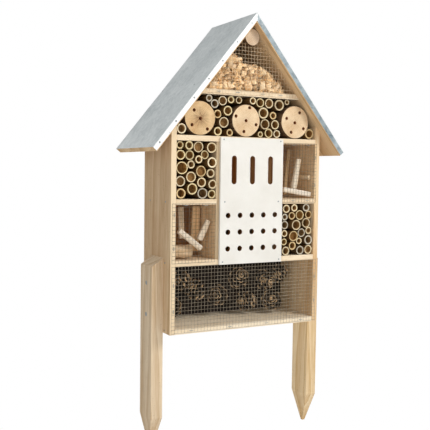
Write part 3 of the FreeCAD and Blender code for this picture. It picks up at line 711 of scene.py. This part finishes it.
def skinFrom(target, start, rings, material):
    # carries on from a loop of vertices through further rings of points, and closes the last one
    rows = [start] + [[target.verts.new(point) for point in ring] for ring in rings]
    count = len(start)
    for first, second in zip(rows, rows[1:]):
        for k in range(count):
            j = (k + 1) % count
            target.faces.new((first[k], first[j], second[j], second[k])).material_index = material
    target.faces.new(rows[-1]).material_index = material


def makeLog(node, seed):
    low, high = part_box(node)
    centre = middleOf(node)
    radius = (high.x - low.x) / 2
    edge = logLook["edge"] * millimetre
    sides = logLook["sides"]
    wobble = logLook["wobble"]
    holes = drillRings(node) if node != "apex_log" else []
    target = bmesh.new()
    outer = wobblyCircle(centre, low.y, radius - edge, sides, wobble, seed)
    rim = logLook["drillEdge"] * millimetre
    around = logLook["drillSides"]
    inner = [wobblyCircle(middle, low.y, r + rim, around, 0.05, seed + 3) for middle, r in holes]
    loops = fillWithHoles(target, outer, inner)
    length = high.y - low.y
    steps = [(0.3 * edge, 0.3 * edge), (edge, 0), (0.03, 0), (0.06, 0), (length - edge, 0), (length, edge)]
    rings = [wobblyCircle(centre, low.y + depth, radius - cut, sides, wobble, seed) for depth, cut in steps]
    skinFrom(target, loops[0], rings, 1)
    for loop, (middle, r) in zip(loops[1:], holes):
        walls = [(rim, r), (0.02, r), (0.04, r), (logLook["drillDepth"] * millimetre, r * 0.9)]
        drill = [wobblyCircle(middle, low.y + depth, wide, around, 0.02, seed + 3) for depth, wide in walls]
        skinFrom(target, loop, drill, 2)
    finishPiece(node + "_look", target, logMaterials(node, centre), [node], 35.0)


def makeLogs():
    for seed, node in enumerate(logEnds):
        makeLog(node, seed * 3.7 + 1.3)


stickMesh = dict(stations=26, sides=28)
# most light tones are raised near white: painted light for sticks that sit in the bay's shade
stickShapes = dict(  # how boxy the section is (2 is an ellipse), how rough, how much it tapers; light, dark
    splint_long=(5.0, 0.05, 0.10, "fffbf0", "dcc5a6"),
    splint_short=(5.0, 0.06, 0.08, "fbf0dc", "c7ae8e"),
    bark_chunk=(2.4, 0.10, 0.06, "fdf0d8", "cfb18a"),
    splint_upright=(3.0, 0.08, 0.12, "fff2de", "d2b896"),
    splint_broad=(6.0, 0.04, 0.10, "ffdfae", "d2a26c"),
    board_leaning=(7.0, 0.03, 0.03, "fffaf0", "e6cfae"),
    stick_broad=(4.0, 0.06, 0.14, "fffaec", "dac09a"),
    stick_pointing=(3.2, 0.06, 0.10, "fdf0d4", "cfae80"),
    stick_thin_short=(3.0, 0.08, 0.15, "f2d9b0", "b8935f"),
    stick_thin_tall=(3.4, 0.07, 0.20, "f2d9b0", "b8935f"),
)


def stickAxes(node):
    # the middle of a straight stick's solid, and its three sides as vectors, the longest first
    points = {(round(v.co.x, 5), round(v.co.z, 5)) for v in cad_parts[node].data.vertices}
    flat = [Vector((x, 0, z)) for x, z in sorted(points)]
    near = sorted(flat[1:], key=lambda p: (p - flat[0]).length)
    low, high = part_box(node)
    sides = [near[1] - flat[0], near[0] - flat[0], Vector((0, high.y - low.y, 0))]
    sides.sort(key=lambda side: -side.length)
    return middleOf(node), *sides


def makeStick(node, seed):
    boxy, rough, taper, light, dark = stickShapes[node]
    middle, run, side, deep = stickAxes(node)
    stations = stickMesh["stations"]
    target = bmesh.new()
    rings = []
    for s in range(stations):
        along = s / (stations - 1)
        thin = 1 - taper * abs(2 * along - 0.6) / 1.4
        if s in (0, stations - 1):
            thin *= 0.93
        at = middle + run * (along - 0.5)
        ring = []
        for angle in anglesOf(stickMesh["sides"]):
            c, d = math.cos(angle), math.sin(angle)
            reach = (abs(c) ** boxy + abs(d) ** boxy) ** (-1 / boxy)
            bump = noise.noise(Vector((c * 1.6, d * 1.6, along * 5 + seed)))
            ridge = noise.noise(Vector((c * 5, d * 5, along * 1.2 + seed)))
            reach *= thin * (1 - rough * (0.8 + bump + 0.7 * ridge))
            ring.append(at + side * (0.5 * reach * c) + deep * (0.5 * reach * d))
        rings.append(ring)
    loft(target, rings, caps=(True, True))
    look = dict(stickLook, light=light, dark=dark)
    material = boardWood("wood_" + node, look, tuple(run.normalized()), seed)
    finishPiece(node + "_look", target, [material], [node], 45.0)


def makeSticks():
    for number, node in enumerate(stickShapes):
        makeStick(node, number * 2.3 + 0.7)


wireLook = dict(
    pitch=6.35,
    wire=0.5,
    solidWire=0.7,  # the wire of the CAD mesh, mm
    layerStep=0.85,  # from the upright wires to the level ones, in wires
    weld=0.62,  # radius of a weld, in wires
    sides=7,
    wander=0.12,
)
# bright and dull tone of each mesh's wire: the dark ones over the bays are painted shade, the warm ones over
# the gable a painted warm reflection
wirePaintedLightTones = dict(
    mesh_gable=("ead6b8", "a0835c"), mesh_left_bay=("8a7a69", "54483c"), mesh_right_bay=("8a7a69", "54483c"),
    mesh_bottom_bay=("b4a793", "7a6f60"),
)


def wireMaterial(node):
    # each mesh's tones carry painted shade or a painted warm reflection
    bright, dull = wirePaintedLightTones[node]
    material, tree, surface = newMaterial("wire_" + node, roughness=0.55, metallic=0.2, specular=0.3)
    vector = here(tree)
    patches = noiseOf(tree, vector, 130.0, 4.0, 0.65)
    colour = mixColour(tree, remap(tree, patches, 0.38, 0.72), bright, dull)
    pits = noiseOf(tree, vector, 2400.0, 3.0)
    coat(tree, surface, colour, pits, 0.00005, remap(tree, patches, 0.3, 0.7, 0.32, 0.6))
    return material


def addWire(target, first, last, thickness, seed):
    # a nearly straight wire: it wanders a little between its ends
    run = last - first
    stops = max(2, int(run.length / (wireLook["pitch"] * millimetre)) + 1)
    forward = run.normalized()
    out = Vector((0, 1, 0))
    side = forward.cross(out)
    turns = anglesOf(wireLook["sides"])
    rings = []
    for s in range(stops + 1):
        at = first + run * (s / stops)
        drift = noise.noise(at * 60 + Vector((seed, 0, 0))) * wireLook["wander"] * millimetre
        at = at + side * drift
        rings.append([at + (side * math.cos(a) + out * math.sin(a)) * thickness / 2 for a in turns])
    loft(target, rings, caps=(True, True))


def addWeld(target, at, size):
    made = bmesh.ops.create_icosphere(target, subdivisions=1, radius=size, matrix=Matrix.Translation(at))
    bmesh.ops.scale(target, vec=(1, 0.8, 1), space=Matrix.Translation(-at), verts=made["verts"])


def wireSpans(low, high, keep):
    # the stretches of a straight line, from low to high, for which keep(at) is true
    steps = 240
    spans = []
    begun = None
    for s in range(steps + 1):
        at = low + (high - low) * s / steps
        if keep(at) and begun is None:
            begun = at
        if begun is not None and (not keep(at) or s == steps):
            spans.append((begun, at))
            begun = None
    return [span for span in spans if (span[1] - span[0]) > wireLook["pitch"] * millimetre * 0.3]


def gableRule():
    # inside the roof's triangle and outside the small log
    low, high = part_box("mesh_gable")
    logLow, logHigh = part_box("apex_log")
    centre = middleOf("apex_log")
    clear = (logHigh.x - logLow.x) / 2 + 0.5 * millimetre
    slope = slopeFacts()["rise"]

    def keep(x, z):
        underRoof = z < low.z + (high.x - abs(x)) * slope + 0.0001
        offLog = (Vector((x, 0, z)) - Vector((centre.x, 0, centre.z))).length > clear
        return underRoof and offLog and z < centre.z
    return keep


def makeMesh(node, rule=None):
    low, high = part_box(node)
    pitch = wireLook["pitch"] * millimetre
    wire = wireLook["wire"] * millimetre
    keep = rule or (lambda x, z: True)
    backLayer = high.y - wire * 0.5 + 0.1 * millimetre
    frontLayer = backLayer - wire * wireLook["layerStep"]
    target = bmesh.new()
    half = wireLook["solidWire"] * millimetre / 2
    columns = int(round((high.x - low.x - 2 * half) / pitch)) + 1
    rows = int(round((high.z - low.z - 2 * half) / pitch)) + 1
    for i in range(columns):
        x = low.x + half + i * pitch
        for first, last in wireSpans(low.z, high.z, lambda z: keep(x, z)):
            addWire(target, Vector((x, backLayer, first)), Vector((x, backLayer, last)), wire, i * 1.7)
    for j in range(rows):
        z = low.z + half + j * pitch
        for first, last in wireSpans(low.x, high.x, lambda x: keep(x, z)):
            addWire(target, Vector((first, frontLayer, z)), Vector((last, frontLayer, z)), wire, 40 + j * 1.7)
    for i in range(columns):
        for j in range(rows):
            x, z = low.x + half + i * pitch, low.z + half + j * pitch
            if keep(x, z):
                addWeld(target, Vector((x, (frontLayer + backLayer) / 2, z)), wire * wireLook["weld"])
    finishPiece(node + "_look", target, [wireMaterial(node)], [node], 60.0)


def makeMeshes():
    for node in ("mesh_bottom_bay", "mesh_left_bay", "mesh_right_bay"):
        makeMesh(node)
    makeMesh("mesh_gable", gableRule())


sheetLook = dict(
    thick=0.6,
    lip=9.0,
    bend=0.9,  # radius of the folds, mm
    dish=0.35,  # how far the slopes stand out of flat, mm
    ridge=16.0,  # from the ridge to where the slopes begin to dish, mm
    stations=44,
    marks="7d878b",
    light="dfe4e4",
    dark="bbc2c3",
    lips=[("ffffff", "f2f3f4"), ("bcc8cd", "5c6c74")],  # left and right front lip: light and dark; the left lip's white and the right lip's darker grey are painted reflections on the zinc
)


def slopeFacts():
    low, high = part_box("roof_sheet")
    outer = (high.x - low.x) / 2
    lipDepth = sheetLook["lip"] * millimetre
    # the eave's lower corner is set in from the tip by the lip's depth, square to the slope
    drop = high.z - low.z
    angle = math.radians(50)
    for _ in range(40):  # closes in on the slope that meets the box's width and height
        angle = math.atan((drop - lipDepth * math.cos(angle)) / outer)
    return dict(rise=math.tan(angle), sine=math.sin(angle), cosine=math.cos(angle), outer=outer, ridge=high.z,
                front=low.y, back=high.y)


def sheetProfile(facts):
    # the sheet's section across a slope, as (depth under the face, y), once round
    thick = sheetLook["thick"] * millimetre
    lip = sheetLook["lip"] * millimetre
    bend = sheetLook["bend"] * millimetre
    turns = [math.radians(a) for a in (0, 22, 45, 68, 90)]
    span = facts["back"] - facts["front"]
    faces = []
    for radius, depth in ((bend, 0.0), (bend - thick, thick)):  # the outer face, then the inner one
        fold = [(lip, depth), (lip * 0.5, depth)]
        fold += [(bend - radius * math.sin(a), bend - radius * math.cos(a)) for a in turns]
        flat = [(depth, bend + (span - 2 * bend) * share) for share in (0.12, 0.3, 0.5, 0.7, 0.88)]
        faces.append(fold + flat + [(down, span - y) for down, y in reversed(fold)])
    return faces


def makeRoofSheet():
    facts = slopeFacts()
    over, under = sheetProfile(facts)
    length = facts["outer"] / facts["cosine"]
    start = sheetLook["ridge"] * millimetre
    count = sheetLook["stations"]
    stops = [0.0, 0.0012] + [start + (length - start) * s / count for s in range(count + 1)]
    path = [(-1, along) for along in reversed(stops)] + [(1, along) for along in stops[1:]]
    rings = []
    for side, along in path:
        if along < start:
            out = Vector((0, 0, -1 / facts["cosine"]))
        else:
            out = Vector((-side * facts["sine"], 0, -facts["cosine"]))
        drop = 0.4 * millimetre if along == 0 else 0.0
        height = facts["ridge"] - along * facts["sine"] - drop
        top = Vector((side * along * facts["cosine"], facts["front"], height))
        ring = []
        for depth, y in over + under[::-1]:
            point = top + out * depth + Vector((0, y, 0))
            dent = noise.noise(Vector((along * 9 * side, y * 11, 3.1)))
            dent += 0.5 * noise.noise(Vector((along * 26, y * 30, 7)))
            ease = min(1.0, along / 0.02, (length - along) / 0.01 + 0.2)
            ring.append(point - out * (sheetLook["dish"] * millimetre * (dent - 0.2) * ease))
        rings.append(ring)
    target = bmesh.new()
    count = len(rings[0])
    rows, faces = loft(target, rings)
    for number, face in enumerate(faces):  # the lips along the front
        if number % count < 2:
            # the left and right lips take their own materials, which carry painted reflections
            face.material_index = 1 if path[number // count][0] < 0 else 2
    for row in (rows[0], rows[-1]):  # the cut ends at the eaves
        for k in range(len(over) - 1):
            target.faces.new((row[k], row[k + 1], row[count - 2 - k], row[count - 1 - k]))
    materials = [sheetMaterial("galvanisedSheet", sheetLook["light"], sheetLook["dark"], 190.0, 0.45)]
    for name, (light, dark) in zip(("lipLeftPaintedReflection", "lipRightPaintedReflection"), sheetLook["lips"]):
        materials.append(sheetMaterial("galvanised_" + name, light, dark, 150.0, 0.7))
    finishPiece("roof_sheet_look", target, materials, ["roof_sheet"], 50.0)


def sheetMaterial(name, light, dark, crystals, cloud):
    material, tree, surface = newMaterial(name, metallic=0.2, specular=0.35)
    vector = here(tree)
    zinc = useGroup(tree, spangle, {
        "Vector": vector, "Light": light, "Dark": dark, "Crystal Scale": crystals, "Cloud": cloud,
    })
    marks = useGroup(tree, speckles, {"Vector": vector, "Scale": 120.0, "Amount": 0.35})
    colour = mixColour(tree, marks["Mask"], zinc["Color"], sheetLook["marks"])
    coat(tree, surface, colour, zinc["Height"], 0.0003, zinc["Roughness"])
    return material


coneLook = dict(
    scales=46,
    turn=137.508,
    radius=24.0,  # of a middle-sized cone, mm
    boxSum=138.5,  # the three sides of a middle-sized cone's box, added up, mm
    wide=0.92,
    core=0.2,
    # near black: the cone's dark brown with painted shade deep between the scales
    dark="0b0704",
    tip="ffd7a4",
    setBack=0.11,  # from the middle of the box to the cone's own middle, in radii
    aims=[(-0.5, -0.6, 0.4), (0.8, -0.4, 0.3), (0.5, -0.5, -0.6), (-0.6, -0.7, 0.2), (-0.3, -0.9, 0.5),
          (0.7, -0.6, 0.1), (0.2, -0.9, -0.2), (-0.5, -0.8, 0.3), (0.6, -0.5, 0.5)],
)


def coneMaterial():
    material, tree, surface = newMaterial("pineConeScale", roughness=0.7, specular=0.3)
    vector = here(tree)
    tip = addNode(tree, "ShaderNodeAttribute", {}, attribute_name="tint").outputs["Fac"]
    rough = noiseOf(tree, vector, 700.0, 4.0)
    amount = calc(tree, "MULTIPLY", tip, remap(tree, rough, 0.25, 0.6, 0.6, 1.0))
    # the scale roots take the near black tone, painted shade between the scales; the tips take the tan
    colour = mixColour(tree, amount, coneLook["dark"], coneLook["tip"])
    coat(tree, surface, colour, rough, 0.0004)
    return material


def scaleRings(length, width, thick, curl):
    # one scale, lying along +X from its root, as rings of points from root to tip
    rings = []
    steps = ((0.0, 0.35, 0.6), (0.35, 0.62, 0.7), (0.68, 1.0, 1.0), (0.88, 0.86, 1.5), (1.0, 0.42, 0.9))
    for share, broad, deep in steps:
        rise = curl * length * share ** 2.2
        top, bottom = [], []
        for v in (-1, -0.5, 0, 0.5, 1):
            cup = 0.16 * width * v * v
            x = length * (share - 0.05 * v * v * share)
            crown = thick * deep * (1 - 0.7 * v * v)
            top.append(Vector((x, v * broad * width / 2, rise + cup + crown / 2)))
            bottom.append(Vector((x, v * broad * width / 2, rise + cup - crown / 2)))
        rings.append(top + bottom[::-1])
    return rings


def addPineCone(target, origin, aim, radius, chance):
    turn = Vector((0, 0, 1)).rotation_difference(aim.normalized()).to_matrix()
    layer = tintLayer(target)
    count = coneLook["scales"]
    for number in range(count):
        share = number / (count - 1)
        height = radius * (-0.66 + 1.42 * share)
        spread = math.sin(math.pi * (0.16 + 0.78 * share)) ** 0.8
        reach = radius * coneLook["wide"] * spread
        length = max(reach - radius * coneLook["core"] * 0.5, radius * 0.14)
        lift = math.radians(-22 + 100 * share ** 1.5 + chance.uniform(-5, 5))
        width = radius * (0.26 + 0.4 * spread)
        bright = chance.choice((1.0, 1.0, 0.7, 0.2, 0.1))  # weathered tips are dull
        about = math.radians(number * coneLook["turn"])
        root = Vector((0, 0, height))
        swing = Matrix.Rotation(about, 3, "Z") @ Matrix.Rotation(-lift, 3, "Y")
        offset = Vector((radius * coneLook["core"] * 0.4, 0, 0))
        rings = []
        for ring in scaleRings(length, width, radius * 0.05, 0.22):
            rings.append([origin + turn @ (root + swing @ (point + offset)) for point in ring])
        rows = loft(target, rings, caps=(True, True))[0]
        for row, edge in zip(rows, (0.0, 0.0, 0.0, 0.12 * bright, bright)):
            for vertex in row:
                vertex[layer] = (edge, edge, edge, 1)


def addConeCore(target, origin, aim, radius):
    turn = Vector((0, 0, 1)).rotation_difference(aim.normalized()).to_matrix()
    rings = []
    for share, wide in ((-0.68, 0.12), (-0.5, 0.3), (-0.1, 0.34), (0.35, 0.24), (0.7, 0.08)):
        ring = []
        for angle in anglesOf(12):
            point = Vector((math.cos(angle) * wide, math.sin(angle) * wide, share))
            ring.append(origin + turn @ (point * radius))
        rings.append(ring)
    loft(target, rings, caps=(True, True))


def makePineCones():
    material = coneMaterial()
    for number, aim in enumerate(coneLook["aims"]):
        node = "pine_cone_%d" % (number + 1)
        low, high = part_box(node)
        aim = Vector(aim)
        size = high - low
        radius = coneLook["radius"] * (size.x + size.y + size.z) / coneLook["boxSum"]
        origin = middleOf(node) - aim.normalized() * radius * coneLook["setBack"]
        target = bmesh.new()
        addConeCore(target, origin, aim, radius)
        addPineCone(target, origin, aim, radius, random.Random(60 + number))
        finishPiece(node + "_look", target, [material], [node], 55.0)


woolLook = dict(
    curls=640,
    width=(4.0, 9.5),
    loop=(4.5, 10.0),  # radius of a curl, mm
    turns=(0.35, 1.1),
    thick=0.35,
    shade=(0.88, 1.15),  # how dull or bright one curl is against the next
    light="ffeccb",
    dark="e8b67c",
)


def woolMaterial():
    material, tree, surface = newMaterial("woodShaving", roughness=0.7, specular=0.25)
    vector = here(tree)
    tint = addNode(tree, "ShaderNodeAttribute", {}, attribute_name="tint").outputs["Color"]
    streaks = noiseOf(tree, vector, 420.0, 4.0)
    amount = remap(tree, streaks, 0.35, 0.7, 0.0, 0.5)
    shade = mixColour(tree, amount, woolLook["light"], woolLook["dark"])
    colour = mixColour(tree, 1.0, shade, tint, "MULTIPLY")
    coat(tree, surface, colour, streaks, 0.0002)
    return material


def addCurl(target, centre, chance, hold):
    turns = chance.uniform(*woolLook["turns"])
    loop = chance.uniform(*woolLook["loop"]) * millimetre
    width = chance.uniform(*woolLook["width"]) * millimetre
    climb = chance.uniform(-0.6, 0.6) * loop
    pose = Euler([chance.uniform(0, 6.28) for k in range(3)]).to_matrix()
    steps = int(8 + 10 * turns)
    thick = woolLook["thick"] * millimetre
    rings = []
    for s in range(steps + 1):
        share = s / steps
        angle = 2 * math.pi * turns * share
        reach = loop * (1 - 0.45 * share)
        out = Vector((math.cos(angle), math.sin(angle), 0))
        middle = out * reach + Vector((0, 0, climb * share * turns))
        wide = width * (0.55 + 0.45 * math.sin(math.pi * (0.12 + 0.76 * share))) / 2
        across = Vector((0.25 * math.sin(3 * angle), 0, 1)).normalized() * wide
        skin = out * thick / 2
        corners = [middle + across + skin, middle - across + skin, middle - across - skin,
                   middle + across - skin]
        rings.append([hold(centre + pose @ corner) for corner in corners])
    faces = loft(target, rings, caps=(True, True))[1]
    warm = chance.uniform(0, 1)
    light = chance.uniform(*woolLook["shade"])
    tintOf(target, faces, (light, light * (1 - 0.10 * warm), light * (1 - 0.28 * warm), 1.0))


def makeWoodWool():
    low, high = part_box("wood_wool")
    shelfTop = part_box("gable_shelf")[1].z
    facts = slopeFacts()
    roofLow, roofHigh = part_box("roof_board_right")
    underRidge = roofLow.z + roofHigh.x * facts["rise"]
    heap = bmesh.new()
    heap.from_mesh(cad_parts["wood_wool"].data)
    tree = BVHTree.FromBMesh(heap)
    heap.free()

    def hold(point):
        # keeps a point under the roof, on the shelf and near the heap
        room = max((underRidge - point.z) / facts["rise"] - 0.012, 0.004)
        return Vector((min(max(point.x, -room), room), min(max(point.y, low.y - 0.005), high.y + 0.004),
                       max(point.z, shelfTop + 0.0004)))

    chance = random.Random(5)
    target = bmesh.new()
    made = 0
    while made < woolLook["curls"]:
        x = chance.uniform(low.x, high.x)
        y = low.y + 0.004 + (high.y - low.y - 0.012) * chance.random() ** 2.2
        hit = tree.ray_cast(Vector((x, (low.y + high.y) / 2, high.z + 0.01)), Vector((0, 0, -1)))
        if hit[0] is None:
            continue
        top = hit[0].z
        depth = chance.random() ** 1.4 * (top - shelfTop)
        addCurl(target, Vector((x, y, max(top - depth - 0.003, shelfTop + 0.003))), chance, hold)
        made += 1
    finishPiece("wood_wool_look", target, [woolMaterial()], ["wood_wool"], 60.0)


makeCamera()
makeLamps()
makeSky()
makeFloor()
bpy.context.scene.view_settings.view_transform = "Standard"
print("studio ready")
paintBoards()
paintPanel()
paintFasteners()
print("boards, panel and fasteners painted")
makeRoofSheet()
print("roof sheet folded")
makeLogs()
makeCanes()
print("logs and canes in place")
makeSticks()
makePineCones()
makeWoodWool()
print("sticks, cones and wood wool in place")
makeMeshes()
print("wire mesh in place")
